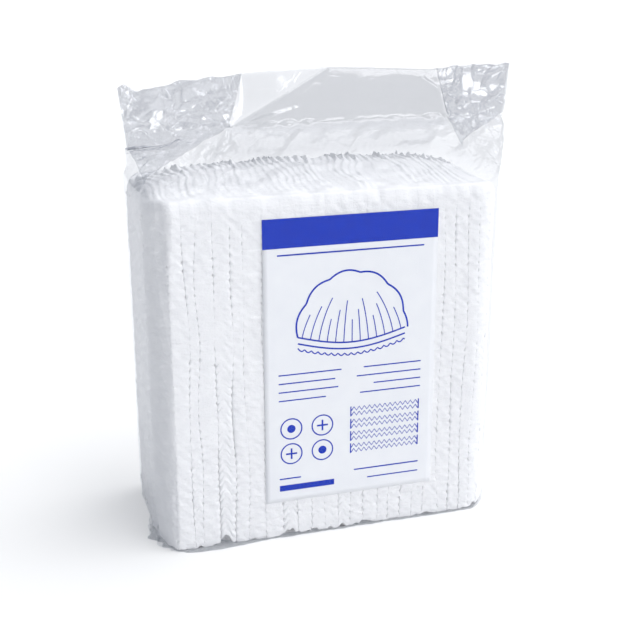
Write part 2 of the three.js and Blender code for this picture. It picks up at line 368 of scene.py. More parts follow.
def section(left_steps, right_steps):
    """A cap's outline from above: across from -1 to 1, the turn round its edge in radians, and how
    deep it lies, from 0 at the edge to 1 at its hidden back."""
    points = [(-1, math.pi / 2, 1 - i / left_steps) for i in range(left_steps)]
    turns = [math.pi / 2 * (1 - i / EDGE_STEPS) for i in range(EDGE_STEPS)]
    points += [(-1, turn, 0) for turn in turns]
    points += [(2 * i / FACE_STEPS - 1, 0, 0) for i in range(FACE_STEPS + 1)]
    points += [(1, turn, 0) for turn in reversed(turns)]
    points += [(1, math.pi / 2, (i + 1) / right_steps) for i in range(right_steps)]
    return np.array(points)


def side_folds(y, z):
    """Relief of the block's end faces: flattened folds that lean along the cap."""
    lean = waves(SIDE_SEED + 21, 5 * MM)(0.0, y * 1.2 + z * 0.5, z * 0.6)
    broad = waves(SIDE_SEED + 22, 22 * MM)(0.0, y, z * 0.5)
    fine = waves(SIDE_SEED + 23, 2.8 * MM)(0.0, y, z)
    return (0.32 * lean + 0.5 * broad + 0.12 * fine + 0.7) * MM


def lower_edge(x, seed):
    """The caps' ragged lower ends, a little above the bag's bottom."""
    fringe = np.abs(waves(seed + 41, 6 * MM)(x, 0.0, 0.0))
    ragged = 0.9 * fringe + 0.5 * waves(seed + 42, 40 * MM)(x, 0.0, 0.0)
    height = 0.4 + np.maximum(ragged, 0.0)
    for place, rise in GAPS_BELOW:
        height = height + rise * np.exp(-((x / MM - place) / GAP_WIDTH) ** 2)
    return height * MM


def of_own_side(across, column, value):
    """value of the seam on each point's own side of the cap."""
    return np.where(across < 0, value(column), value(column + 1))


def gathers(across, column, seed, z):
    """How deep the gathers are dented at each point: 1 in a strong valley, 0 between them."""
    left_phase = gather_phase(column, seed, z)
    right_phase = gather_phase(column + 1, seed, z)
    wave = left_phase + (right_phase - left_phase) * (across + 1) / 2
    uneven = of_own_side(
        across, column, lambda edge: waves(seed * 900 + edge, 8 * MM, 10)(0.0, 0.0, z)
    )
    return np.clip(0.5 - 0.5 * np.cos(wave), 0, 1) ** 2.5 * np.clip(0.9 + 0.25 * uneven, 0.5, 1.3)


def face_relief(x, z, across, valley, seed, shift, facing):
    """How far a cap's face lies back: its gathers, pressed flat in places, and the cloth's waves."""
    pressed = smooth_step(waves(seed + 3, 60 * MM)(x, 0.0, z), -0.9, 0.9)
    relief = VALLEY * valley * (0.1 + 0.9 * np.abs(across) ** 2.2) * (0.25 + 0.75 * pressed)
    relief = relief * smooth_step(SIDE_TOP - z, 0, 15 * MM)
    broad = waves(seed + 12, 38 * MM)(x, 0.0, z) * 0.25 * MM
    fine = waves(seed + 11, 2.8 * MM)(x * 0.5, 0.0, z) * 0.13 * MM
    behind = relief + shift + 0.1 * MM - broad - fine
    slanting = smooth_step(-x, LEFT_EDGE, LEFT_EDGE + 3 * MM) * (facing < 0)
    behind = behind + slanting * side_folds(x * 2, z)
    if facing < 0:
        behind = behind * (1 - under_label(x, z))
    return np.maximum(behind, 0)


def cap_strip(name, column, box, facing, seed, material):
    """One cap: a strip gathered along its length, with its own gathers' pitch and phase. facing is
    -1 for the front row and 1 for the back row."""
    lo, _ = box
    row_count = FRONT_ROWS if facing < 0 else BACK_ROWS
    rng = np.random.default_rng(seed * 1000 + column)
    face_shift = FACE_WANDER * rng.uniform(0, 1)
    outline = section(SIDE_STEPS if column == 0 else 1, SIDE_STEPS if column == COLUMNS - 1 else 1)
    across, turn, deep = outline[None, :, 0], outline[None, :, 1], outline[None, :, 2]
    at_end = ((column == 0) & (across < 0)) | ((column == COLUMNS - 1) & (across > 0))
    at_end = at_end.astype(float)

    inner = ROW_PLANES[0] - ROW_GAP if facing < 0 else ROW_PLANES[2] + ROW_GAP
    outer = BLOCK_FRONT if facing < 0 else BLOCK_BACK
    share = np.linspace(0, 1, row_count)[:, None]
    rough_z = lo.z + (SIDE_TOP - lo.z) * share
    left, right = seam(column, seed, rough_z), seam(column + 1, seed, rough_z)
    middle, half = (left + right) / 2, (right - left) / 2
    gape = of_own_side(across, column, lambda edge: openness(edge, seed, rough_z))
    valley = gathers(across, column, seed, rough_z)
    radius = (EDGE_ROUND * gape**2 + NOTCH * gape * valley) * (1 - at_end)
    radius = np.minimum(radius, WIDEST_ROUND * half)
    face_half = half - radius
    x = middle + across * face_half + np.sign(across) * radius * np.sin(turn)
    x = np.where(np.abs(across) < 1, middle + across * face_half, x)

    behind = face_relief(x, rough_z, across, valley, seed, face_shift, facing)
    behind = behind + radius * (1 - np.cos(turn))
    reach = abs(outer - inner) - corner_setback(x, rough_z, facing) - behind
    depth = reach * (1 - deep)
    y = inner + facing * depth
    foot = lower_edge(x, seed)
    from_edge = np.clip(depth - (reach - TOP_ROUND), 0, TOP_ROUND)
    rounding = TOP_ROUND - np.sqrt(TOP_ROUND**2 - from_edge**2)
    head = crown(x, y) - rounding - 0.3 * MM - np.where(deep >= 1, HIDDEN_DROP, 0)
    z = foot + (head - foot) * share
    lower = np.clip(1 - (z - foot) / TOP_ROUND, 0, 1)
    y = y - facing * 0.12 * TOP_ROUND * (1 - np.sqrt(1 - lower**2 * 0.96)) * (1 - deep)
    bulge = side_folds(y, z) * at_end * np.clip(deep * 6, 0.3, 1)
    x = x - np.sign(across) * bulge
    wall = np.stack([x, y, z], -1)

    shown = np.where(deep[0] == 0)[0]
    spread_x = middle[-1] + across[0, shown] * half[-1]
    top = strip_top(wall[-1, shown], spread_x, at_end[0, shown], inner)
    return join_strip(name, wall, top, shown, material)


def strip_top(edge, spread_x, at_end, inner):
    """Rows of points over a strip's top, from its front edge's rounding back to the inner plane. On
    the way each point moves to its spread_x, except on the block's end faces."""
    rows = []
    for step in np.linspace(0, 1, TOP_STEPS + 1)[1:]:
        y = edge[:, 1] + (inner - edge[:, 1]) * step
        x = edge[:, 0] + (spread_x - edge[:, 0]) * step * (1 - at_end)
        from_edge = np.abs(y - edge[:, 1])
        still_round = np.maximum(TOP_ROUND - from_edge, 0)
        drop = TOP_ROUND - np.sqrt(np.maximum(TOP_ROUND**2 - still_round**2, 0))
        z = crown(x, y) - drop + teeth(x, y) * smooth_step(from_edge, 2 * MM, 9 * MM)
        rows.append(np.stack([x, y, z], -1))
    return np.array(rows)


def join_strip(name, wall, top, shown, material):
    """Welds a strip's wall, its top and its closing faces into one closed skin."""
    row_count, count = wall.shape[:2]
    points = list(wall.reshape(-1, 3))
    faces = grid_faces(0, row_count, count, closed=True)
    faces.append(tuple(range(count)))
    last = (row_count - 1) * count
    previous = [last + i for i in shown]
    left_rim, right_rim = [previous[0]], [previous[-1]]
    for row in top:
        current = [len(points) + i for i in range(len(row))]
        points.extend(row)
        faces += zip(previous, previous[1:], current[1:], current)
        left_rim.append(current[0])
        right_rim.append(current[-1])
        previous = current
    left_wall = [last + i for i in range(shown[0])]
    right_wall = [last + i for i in range(shown[-1] + 1, count)]
    faces.append(tuple(left_wall + left_rim))
    faces.append(tuple(right_rim[::-1] + right_wall))
    faces.append(tuple(previous + [right_wall[-1], left_wall[0]]))
    thing = new_object(name, points, faces, material)
    fix_normals(thing, SHARP_ANGLE)
    return thing


def fix_normals(thing, sharp_angle=0):
    """Turns all faces outward, and keeps the edges that are sharper than the angle as edges."""
    work = bmesh.new()
    work.from_mesh(thing.data)
    bmesh.ops.recalc_face_normals(work, faces=work.faces)
    work.to_mesh(thing.data)
    work.free()
    if sharp_angle:
        thing.data.set_sharp_from_angle(angle=math.radians(sharp_angle))


def inner_block(name, lo, hi, front_plane, back_plane, material):
    """A hidden row of caps pressed together: its ridged top shows, and its two end faces."""
    x_steps, y_steps = BLOCK_X_STEPS, BLOCK_Y_STEPS
    across = np.linspace(lo.x, hi.x, x_steps + 1)
    deep = np.linspace(front_plane + ROW_GAP, back_plane - ROW_GAP, y_steps + 1)
    gx, gy = np.meshgrid(across, deep, indexing="ij")
    points = list(np.stack([gx, gy, crown(gx, gy) + teeth(gx, gy)], -1).reshape(-1, 3))
    faces = grid_faces(0, x_steps + 1, y_steps + 1)
    front_rim = [i * (y_steps + 1) for i in range(x_steps + 1)]
    back_rim = [i + y_steps for i in front_rim]
    ends = []
    for end in (0, x_steps):
        rows = [list(range(front_rim[end], back_rim[end] + 1))]
        for share in np.linspace(0, 1, BLOCK_Z_STEPS + 1)[1:]:
            current = list(range(len(points), len(points) + y_steps + 1))
            for px, py, pz in [points[i] for i in rows[0]]:
                points.append((px, py, pz + (lo.z - pz) * share))
            faces += zip(rows[-1], rows[-1][1:], current[1:], current)
            rows.append(current)
        ends.append(rows)
    left, right = ends
    for rim, side in ((front_rim, 0), (back_rim, -1)):
        faces.append(tuple(rim + [row[side] for row in right[1:] + left[:0:-1]]))
    faces.append(tuple(left[-1] + right[-1][::-1]))
    array = np.array(points)
    at_end = np.abs(np.abs(array[:, 0]) - BLOCK_HALF) < 0.01 * MM
    relief = side_folds(array[:, 1], array[:, 2])
    array[:, 0] -= np.where(at_end, np.sign(array[:, 0]) * relief, 0)
    thing = new_object(name, array, faces, material)
    fix_normals(thing, SHARP_ANGLE)
    return thing


# The film's shape

def rounded_corner(before, corner, after, reach):
    """An arc that leaves its corner's two sides at the same distance from the corner."""
    a, b, c = (np.array(p) for p in (before, corner, after))
    da, dc = (a - b) / np.linalg.norm(a - b), (c - b) / np.linalg.norm(c - b)
    opening = math.acos(float(np.clip(np.dot(da, dc), -1, 1))) / 2
    inward = (da + dc) / max(np.linalg.norm(da + dc), 1e-9)
    centre = b + inward * reach / math.cos(opening)
    first, last = b + da * reach - centre, b + dc * reach - centre
    sweep = math.atan2(first[0] * last[1] - first[1] * last[0], float(np.dot(first, last)))
    turned = np.array((-first[1], first[0]))
    angles = np.linspace(0, sweep, CORNER_COUNT)
    return [centre + (first * math.cos(t) + turned * math.sin(t)) for t in angles]


def between(a, b, count):
    share = np.linspace(0, 1, count + 2)[1:-1, None]
    return list(np.array(a) + (np.array(b) - np.array(a)) * share)


def film_outline(flat, left, right, tuck_left, tuck_right, half):
    """The bag's outline at one level, always with the same count of points: front, right side, back,
    left side. flat runs from 0, a rounded rectangle, to 1, a flap with tucked sides."""
    reach = BAG_CORNER * (1 - flat) ** 3 + 0.8 * MM * flat
    apex_left, apex_right = np.array((tuck_left, 0.0)), np.array((tuck_right, 0.0))
    front_left, front_right = (left, -half), (right, -half)
    back_left, back_right = (left, half), (right, half)
    corners = [
        rounded_corner(apex_left, front_left, front_right, reach),
        rounded_corner(front_left, front_right, apex_right, reach),
        rounded_corner(apex_right, back_right, back_left, reach),
        rounded_corner(back_right, back_left, apex_left, reach),
    ]
    stops = [corners[0], corners[1], [apex_right], corners[2], corners[3], [apex_left]]
    counts = [PANEL_COUNT, GUSSET_COUNT, GUSSET_COUNT] * 2
    outline = []
    for stop, after, count in zip(stops, stops[1:] + stops[:1], counts):
        outline += list(stop) + between(stop[-1], after[0], count)
    return np.array(outline)


def film_levels():
    """The film's levels from the floor to the flap's top edge: height, inset at the foot, how flat
    the bag is, and how far up the flap."""
    slope = math.atan2(PRESS_HEIGHT - BODY_HEIGHT, FILM_HALF_DEPTH)
    turn = math.pi / 2 - slope
    start_z = BODY_HEIGHT - FOLD_RADIUS * math.tan(turn / 2)
    levels = []
    for t in np.linspace(0, math.pi / 2, FOOT_LEVELS):
        levels.append((FOOT_RADIUS * (1 - math.cos(t)), FOOT_RADIUS * (1 - math.sin(t)), 0.0, 0.0))
    heights = list(np.arange(FOOT_RADIUS, FOOT_HEIGHT, FOOT_PITCH)[1:])
    heights += list(np.linspace(FOOT_HEIGHT, start_z, BODY_LEVELS))
    for _, _, z in BODY_CREASES:
        heights += [(z - BODY_CREASE_HALF) * MM, z * MM, (z + BODY_CREASE_HALF) * MM]
    levels += [(z, 0.0, 0.0, 0.0) for z in sorted(heights)]
    for t in np.linspace(0, turn, FOLD_LEVELS)[1:]:
        flat = FOLD_RADIUS * (1 - math.cos(t)) / (FILM_HALF_DEPTH - FLAP_HALF)
        levels.append((start_z + FOLD_RADIUS * math.sin(t), 0.0, flat, 0.0))
    first_z, _, first_flat, _ = levels[-1]
    for share in np.linspace(0, 1, GABLE_LEVELS)[1:]:
        z = first_z + (PRESS_HEIGHT - first_z) * share
        levels.append((z, 0.0, first_flat + (1 - first_flat) * share, 0.0))
    return levels + [(PRESS_HEIGHT, 0.0, 1.0, share) for share in np.linspace(0, 1, FLAP_LEVELS)[1:]]


def film_bag(material):
    """The whole bag as one skin: tight round the caps, a gable with tucked sides, a pressed flap."""
    rows = []
    for height, inset, flat, up_flap in film_levels():
        half_width = FILM_HALF_WIDTH - inset
        left = -half_width + (PRESSED_LEFT + half_width) * flat + (FLAP_LEFT - PRESSED_LEFT) * up_flap
        right = half_width + (PRESSED_RIGHT - half_width) * flat
        right += (FLAP_RIGHT - PRESSED_RIGHT) * up_flap**0.5
        tuck_left = -half_width + (TUCK_LEFT + half_width) * flat + TUCK_LEAN_LEFT * up_flap
        tuck_right = half_width + (TUCK_RIGHT - half_width) * flat + TUCK_LEAN_RIGHT * up_flap
        half = FILM_HALF_DEPTH - inset + (FLAP_HALF - FILM_HALF_DEPTH + inset) * flat
        half *= 1 - 0.9 * up_flap**6
        outline = film_outline(flat, left, right, tuck_left, tuck_right, half)
        x, y = outline[:, 0], outline[:, 1]
        z = height + (table(FLAP_TOP, x) - PRESS_HEIGHT) * up_flap
        z = z + table(PRESSED_DIP, x) * flat**3 * (1 - up_flap)
        sway = table(FLAP_SWAY, x) * flat**1.5
        rows.append(np.stack([x, y + sway, z, np.full(len(x), flat), np.full(len(x), up_flap), y], -1))
    grid = np.array(rows)
    points = crumple(grid)
    count = grid.shape[1]
    faces = grid_faces(0, len(rows), count, closed=True)
    faces.append(tuple(range(count)))
    faces.extend(seal_faces((len(rows) - 1) * count, count))
    thing = new_object("film_skin", points.reshape(-1, 3), faces, material)
    fix_normals(thing)
    return thing


def seal_faces(first, count):
    """Joins the flap's front and back edges along its top, point by point from the left tip."""
    half = count // 2
    order = [first + (-GUSSET_COUNT - 1 + i) % count for i in range(count)]
    faces = [(order[0], order[1], order[-1])]
    for i in range(1, half):
        a, b, c, d = order[i], order[i + 1], order[-i - 1], order[-i]
        faces.append((a, b, d) if b == c else (a, b, c, d))
    return faces


def along_panel(z, flat):
    """How far up the film a point lies, from 0 at the front edge's fold."""
    return np.where(flat < 1, flat * GABLE_LENGTH, GABLE_LENGTH + np.maximum(z - PRESS_HEIGHT, 0))


def crease(x, v, path, width):
    """A sharp ridge along a path of (across, up) points in millimetres: 1 on it, 0 beside it."""
    nearest = np.full(x.shape, 1.0)
    path = np.array(path) * MM
    for (ax, av), (bx, bv) in zip(path, path[1:]):
        dx, dv = bx - ax, bv - av
        t = np.clip(((x - ax) * dx + (v - av) * dv) / (dx * dx + dv * dv), 0, 1)
        nearest = np.minimum(nearest, np.hypot(x - ax - t * dx, v - av - t * dv))
    return np.clip(1 - nearest / (width * MM), 0, 1)


def end_weight(x):
    """1 in the flap's four-layer ends, 0 in its smooth middle."""
    left = 1 - smooth_step(x, TUCK_LEFT - 10 * MM, TUCK_LEFT + 6 * MM)
    right = smooth_step(x, TUCK_RIGHT - 16 * MM, TUCK_RIGHT + 6 * MM)
    return np.maximum(left, right)


def outward_normals(grid):
    """Unit normals of the film's outline at each level, across and along the depth."""
    tangent = np.roll(grid[..., :2], -1, axis=1) - np.roll(grid[..., :2], 1, axis=1)
    normal = np.stack([tangent[..., 1], -tangent[..., 0]], -1)
    return normal / np.maximum(np.linalg.norm(normal, axis=-1, keepdims=True), 1e-9)


def body_crumple(x, y, z, own_y, medium, small):
    """How far the film stands off the caps: hardly at all, but crumpled and heaped at its foot."""
    broad = waves(37, 60 * MM)(x, y, z)
    foot = np.exp(-z / (12 * MM))
    at_corner = smooth_step(np.abs(x), 70 * MM, 97 * MM)
    in_front = np.where(own_y < -30 * MM, 1.0, 0.35)
    amount = (0.18 + foot * in_front * (1.2 + 2.0 * at_corner + 2.2 * at_corner * (x < 0))) * MM
    outward = amount * (0.8 * medium + 0.45 * small) + 0.12 * MM * broad
    outward -= foot * 0.3 * MM
    spread = np.exp(-z / (9 * MM))
    left_heap = np.exp(-(((y + 20 * MM) / (11 * MM)) ** 2)) * smooth_step(-x, 84 * MM, 96 * MM)
    front_heap = np.exp(-(((x + 66 * MM) / (16 * MM)) ** 2)) * smooth_step(-y, 40 * MM, 46 * MM)
    return outward + spread * (left_heap * (4.2 + 1.8 * small + 1.5 * medium) + 2.6 * front_heap) * MM


def crumple(grid):
    """Moves the film's points: tight on the caps, wrinkled at the foot, folded in the flap."""
    x, y, z, flat, up_flap, own_y = (grid[..., i] for i in range(6))
    normal = outward_normals(grid)
    medium = folds(31, 17 * MM)(x, y, z)
    small = folds(35, 6.5 * MM)(x, y, z)
    body = 1 - smooth_step(flat, 0.0, 0.15)
    outward = body * body_crumple(x, y, z, own_y, medium, small)
    moved = grid[..., :3].copy()
    moved[..., 0] += normal[..., 0] * outward
    moved[..., 1] += normal[..., 1] * outward

    # The gable's panels: each crumples for itself.
    ends = end_weight(x)
    gable = smooth_step(flat, 0.03, 0.2) * (1 - smooth_step(flat, 0.8, 1.0))
    side = np.sign(own_y + 1e-9)
    lift = gable * (0.5 + 1.6 * ends) * (1.2 * medium + 0.6 * small) * MM
    moved[..., 1] += 0.5 * lift * side
    moved[..., 2] += 0.85 * lift

    # The flap's layers share one crumple, so that they stay in order.
    upper = smooth_step(flat, 0.55, 1.0)
    large = folds(41, 30 * MM)(x, 0.0, z)
    fine = folds(43, 8 * MM)(x, 0.0, z)
    finest = folds(45, 4.2 * MM)(x, 0.0, z)
    flap_move = upper * ((0.5 + 2.2 * ends) * large + (0.05 + 0.7 * ends) * fine + 0.2 * ends * finest)
    v = along_panel(z, flat)
    moved[..., 1] += flap_move * MM + upper * leaning_facet(x, v)
    moved[..., 2] += up_flap * ends * 1.6 * MM * fine

    add_creases(moved, x, z, v, flat, own_y < 0)
    seam_line = np.exp(-((v - GABLE_LENGTH) / (1.1 * MM)) ** 2) * smooth_step(flat, 0.5, 0.9)
    moved[..., 1] += side * seam_line * (0.5 + 0.5 * waves(51, 9 * MM)(x, 0.0, 0.0)) * MM
    moved[..., 2] = np.maximum(moved[..., 2], 0.0)
    return moved


def add_creases(moved, x, z, v, flat, front):
    """Raises the creases beside the label and those of the gable and the flap. v is how far up the
    film a point lies."""
    for start, end, level in BODY_CREASES:
        beside = inside(x, start * MM, end * MM, 2 * MM)
        bump = 0.5 * MM * np.clip(1 - np.abs(z - level * MM) / (BODY_CREASE_HALF * MM), 0, 1)
        moved[..., 1] -= np.where(front, beside * bump, 0)
    for path, width, height in GABLE_CREASES:
        ridge = crease(x, v, path, width) * height * MM
        on_gable = np.where(front, 1.0, 0.0) * (1 - smooth_step(flat, 0.9, 1.0))
        moved[..., 1] -= ridge * np.where(flat < 1, 0.5 * on_gable, 1.0)
        moved[..., 2] += ridge * 0.85 * on_gable


def leaning_facet(x, v):
    """The flap's upper left half leans back from a fold that rises to the right."""
    (ax, av), (bx, bv) = np.array(FACET_FOLD) * MM
    length = math.hypot(bx - ax, bv - av)
    above = ((v - av) * (bx - ax) - (x - ax) * (bv - av)) / length
    right_of_tuck = smooth_step(x, TUCK_LEFT + 1 * MM, TUCK_LEFT + 9 * MM)
    return FACET_LEAN * np.maximum(above, 0) * right_of_tuck - 0.05 * np.maximum(v - GABLE_LENGTH, 0)


# Materials

def node(tree, kind, **values):
    made = tree.nodes.new(kind)
    for key, value in values.items():
        if key in made.inputs:
            made.inputs[key].default_value = value
        else:
            setattr(made, key, value)
    return made


def fresh_material(name):
    material = bpy.data.materials.new(name)
    material.use_nodes = True
    tree = material.node_tree
    tree.nodes.clear()
    return material, tree


def finish_material(tree, shader):
    output = node(tree, "ShaderNodeOutputMaterial")
    tree.links.new(shader.outputs[0], output.inputs["Surface"])


def object_coordinates(tree, scale=(1, 1, 1)):
    coordinates = node(tree, "ShaderNodeTexCoord")
    mapping = node(tree, "ShaderNodeMapping")
    mapping.inputs["Scale"].default_value = scale
    tree.links.new(coordinates.outputs["Object"], mapping.inputs["Vector"])
    return mapping.outputs["Vector"]


def texture(tree, kind, place, **values):
    made = node(tree, kind, **values)
    tree.links.new(place, made.inputs["Vector"])
    return made


def ramp(tree, factor, stops):
    made = node(tree, "ShaderNodeValToRGB")
    elements = made.color_ramp.elements
    while len(elements) < len(stops):
        elements.new(0.5)
    for element, (position, colour) in zip(elements, stops):
        element.position = position
        element.color = (*colour, 1)
    tree.links.new(factor, made.inputs["Fac"])
    return made.outputs["Color"]


def matt_material(name, scale, detail, tones, roughness, specular):
    """A matt surface whose colour wanders between two tones with a fine noise. Its node tree, its
    shader and its object coordinates come with it."""
    material, tree = fresh_material(name)
    place = object_coordinates(tree)
    shader = node(tree, "ShaderNodeBsdfPrincipled", Roughness=roughness)
    shader.inputs["Specular IOR Level"].default_value = specular
    cloudy = texture(tree, "ShaderNodeTexNoise", place, Scale=scale, Detail=detail)
    colour = ramp(tree, cloudy.outputs["Fac"], [(0.3, tones[0]), (0.7, tones[1])])
    tree.links.new(colour, shader.inputs["Base Color"])
    finish_material(tree, shader)
    return material, tree, shader, place


def add_bump(tree, shader, height, **values):
    bump = node(tree, "ShaderNodeBump", **values)
    tree.links.new(height, bump.inputs["Height"])
    tree.links.new(bump.outputs["Normal"], shader.inputs["Normal"])
    return bump


def maths(tree, operation, first, second=None, third=None):
    """One maths node. Its inputs are numbers or sockets."""
    made = node(tree, "ShaderNodeMath", operation=operation)
    for socket, value in zip(made.inputs, (first, second, third)):
        if isinstance(value, (int, float)):
            socket.default_value = value
        elif value is not None:
            tree.links.new(value, socket)
    return made.outputs[0]


def map_range(tree, socket, start, end, low, high):
    """Runs from low to high while the socket runs from start to end."""
    made = node(tree, "ShaderNodeMapRange")
    for name, value in (("From Min", start), ("From Max", end), ("To Min", low), ("To Max", high)):
        made.inputs[name].default_value = value
    tree.links.new(socket, made.inputs["Value"])
    return made.outputs[0]


def nonwoven_material():
    """Spunbond polypropylene: matt white fibres with a grid of tiny bonded points."""
    tones = ((0.88, 0.88, 0.89), (0.93, 0.93, 0.935))
    material, tree, shader, place = matt_material(
        "cap_nonwoven", 160.0, 3.0, tones, roughness=0.85, specular=0.25
    )
    shader.inputs["Sheen Weight"].default_value = 0.25
    shader.inputs["Sheen Roughness"].default_value = 0.6
    flattened = object_coordinates(tree, (0.6, 1, 2.0))
    fibres = texture(tree, "ShaderNodeTexNoise", flattened, Scale=420.0, Detail=3.0, Roughness=0.65)
    bonds = texture(tree, "ShaderNodeTexVoronoi", place, Scale=900.0)
    height = maths(tree, "MULTIPLY_ADD", bonds.outputs["Distance"], 0.25, fibres.outputs["Fac"])
    add_bump(tree, shader, height, Strength=0.5, Distance=0.0008)
    return material


def film_wrinkles(tree, place):
    """Thin raised creases of two sizes, where two smooth noises pass through their middle."""
    total = 0.0
    for scale, width, weight in ((34.0, 0.026, 1.0), (90.0, 0.038, 0.6)):
        noise = texture(tree, "ShaderNodeTexNoise", place, Scale=scale, Detail=1.0, Distortion=0.8)
        distance = maths(tree, "ABSOLUTE", maths(tree, "SUBTRACT", noise.outputs["Fac"], 0.5))
        ridge = map_range(tree, distance, width, 0.0, 0.0, weight)
        total = maths(tree, "ADD", ridge, total)
    return total


def film_ends(tree, x, z):
    """1 in the tucked ends of the gable and the flap, 0 between them."""
    up_flap = maths(tree, "SUBTRACT", z, PRESS_HEIGHT)
    flap_height = FILM_HI.z - PRESS_HEIGHT
    masks = []
    for apex, lean, outward in ((TUCK_LEFT, TUCK_LEAN_LEFT, -1), (TUCK_RIGHT, TUCK_LEAN_RIGHT, 1)):
        straightened = maths(tree, "SUBTRACT", x, maths(tree, "MULTIPLY", up_flap, lean / flap_height))
        inner, outer = apex - outward * 2 * MM, apex + outward * 1 * MM
        masks.append(map_range(tree, straightened, inner, outer, 0.0, 1.0))
    return maths(tree, "MAXIMUM", *masks)


def film_grey(tree, x, y, z, ends, above):
    """How grey the film is, 0 to 1. It runs through several layers in the gable, the flap and the
    tucked ends. The tucked ends are painted paler than the middle, standing in for the glints of
    their crumples, and the upper left half of the flap is painted paler above its fold, a painted
    highlight of that leaning facet."""
    behind = map_range(tree, y, -8 * MM, -3 * MM, GABLE_GREY, 1.0)
    (ax, av), (bx, bv) = FACET_FOLD
    rise = (bv - av) / (bx - ax)
    over_fold = maths(tree, "SUBTRACT", z, maths(tree, "MULTIPLY", x, rise))
    fold_level = PRESS_HEIGHT - GABLE_LENGTH + (av - ax * rise) * MM
    # Painted highlight: the flap's upper left half above its fold is paler.
    facet_painted_highlight = map_range(tree, over_fold, fold_level - 0.5 * MM, fold_level + 1.0 * MM, 1.0, FACET_PAINTED_HIGHLIGHT_GREY)
    middle = maths(tree, "MULTIPLY", behind, facet_painted_highlight)
    middle = maths(tree, "MULTIPLY", maths(tree, "SUBTRACT", 1.0, ends), middle)
    # Painted glints: the tucked ends are paler than the middle, standing in for the glints of their
    # crumples.
    end_tone_and_painted_glint_grey = map_range(tree, x, TUCK_LEFT, TUCK_RIGHT, *END_TONE_AND_PAINTED_GLINT_GREYS)
    grey = maths(tree, "ADD", middle, maths(tree, "MULTIPLY", ends, end_tone_and_painted_glint_grey))
    return maths(tree, "MULTIPLY", grey, above)


def film_material():
    """Clear film: it lets most light through, greys what is behind it a little and mirrors lamps."""
    material, tree = fresh_material("clear_film")
    place = object_coordinates(tree)
    split = node(tree, "ShaderNodeSeparateXYZ")
    tree.links.new(place, split.inputs[0])
    x, y, z = (split.outputs[axis] for axis in "XYZ")
    ends = film_ends(tree, x, z)
    above = map_range(tree, z, BODY_HEIGHT - 2 * MM, BODY_HEIGHT + 8 * MM, 0.0, 1.0)
    below = map_range(tree, z, 26 * MM, 6 * MM, 0.0, 0.5)
    clear = node(tree, "ShaderNodeBsdfTransparent")
    tint = ramp(tree, film_grey(tree, x, y, z, ends, above), list(enumerate(FILM_TINTS)))
    tree.links.new(tint, clear.inputs["Color"])
    shader = node(tree, "ShaderNodeBsdfGlossy", Roughness=0.12)
    shader.inputs["Color"].default_value = (0.97, 0.98, 1.0, 1)
    bump = add_bump(tree, shader, film_wrinkles(tree, place), Distance=0.0008)
    loose = maths(tree, "ADD", maths(tree, "MULTIPLY", ends, above), maths(tree, "ADD", below, 0.08))
    tree.links.new(loose, bump.inputs["Strength"])
    facing = node(tree, "ShaderNodeLayerWeight", Blend=0.5)
    steep = maths(tree, "POWER", facing.outputs["Facing"], 4.0)
    share = map_range(tree, steep, 0.0, 1.0, *FILM_GLOSS)
    upper = map_range(tree, z, PRESS_HEIGHT - 14 * MM, PRESS_HEIGHT, *UPPER_GLOSS)
    share = maths(tree, "ADD", share, maths(tree, "MULTIPLY", above, upper))
    mix = node(tree, "ShaderNodeMixShader")
    for socket, source in zip(mix.inputs, (share, clear.outputs[0], shader.outputs[0])):
        tree.links.new(source, socket)
    finish_material(tree, mix)
    return material


def paper_material():
    tones = ((0.87, 0.88, 0.905), (0.90, 0.91, 0.925))
    material, tree, shader, place = matt_material(
        "label_paper", 90.0, 5.0, tones, roughness=0.55, specular=0.4
    )
    pulp = texture(tree, "ShaderNodeTexNoise", place, Scale=1500.0, Detail=3.0)
    add_bump(tree, shader, pulp.outputs["Fac"], Strength=0.15, Distance=0.0001)
    return material


def ink_material():
    tones = ((0.001, 0.03, 0.44), (0.003, 0.04, 0.52))
    return matt_material("label_ink", 400.0, 3.0, tones, roughness=0.45, specular=0.12)[0]


def floor_material():
    tones = ((0.65, 0.65, 0.652), (0.67, 0.67, 0.672))
    material, _, shader, _ = matt_material("studio_floor", 3.0, 2.0, tones, roughness=0.9, specular=0.0)
    shader.inputs["Emission Color"].default_value = (1, 1, 1, 1)
    shader.inputs["Emission Strength"].default_value = FLOOR_GLOW
    return material


# The label

def label_surface(x, z):
    """Where the label's front lies: just before the caps, which it follows a little."""
    sag = waves(61, 70 * MM, 12)(x, 0.0, z)
    return BLOCK_FRONT - 0.35 * MM + 0.08 * MM * sag


def label_sheet(material):
    columns, rows = LABEL_GRID
    x = np.linspace(LABEL_LO.x, LABEL_HI.x, columns)
    z = np.linspace(LABEL_LO.z, LABEL_HI.z, rows)
    gz, gx = np.meshgrid(z, x, indexing="ij")
    front = np.stack([gx, label_surface(gx, gz), gz], -1).reshape(-1, 3)
    back = front + np.array([0, PAPER_THICKNESS, 0])
    points = np.concatenate([front, back])
    total = columns * rows
    faces = grid_faces(0, rows, columns)
    faces += [tuple(total + i for i in reversed(f)) for f in grid_faces(0, rows, columns)]
    grid = np.arange(total).reshape(rows, columns)
    rim = [*grid[0], *grid[1:, -1], *grid[-1, -2::-1], *grid[-2:0:-1, 0]]
    faces += [(b, a, total + a, total + b) for a, b in zip(rim, rim[1:] + rim[:1])]
    return new_object("label_paper_sheet", points, faces, material)


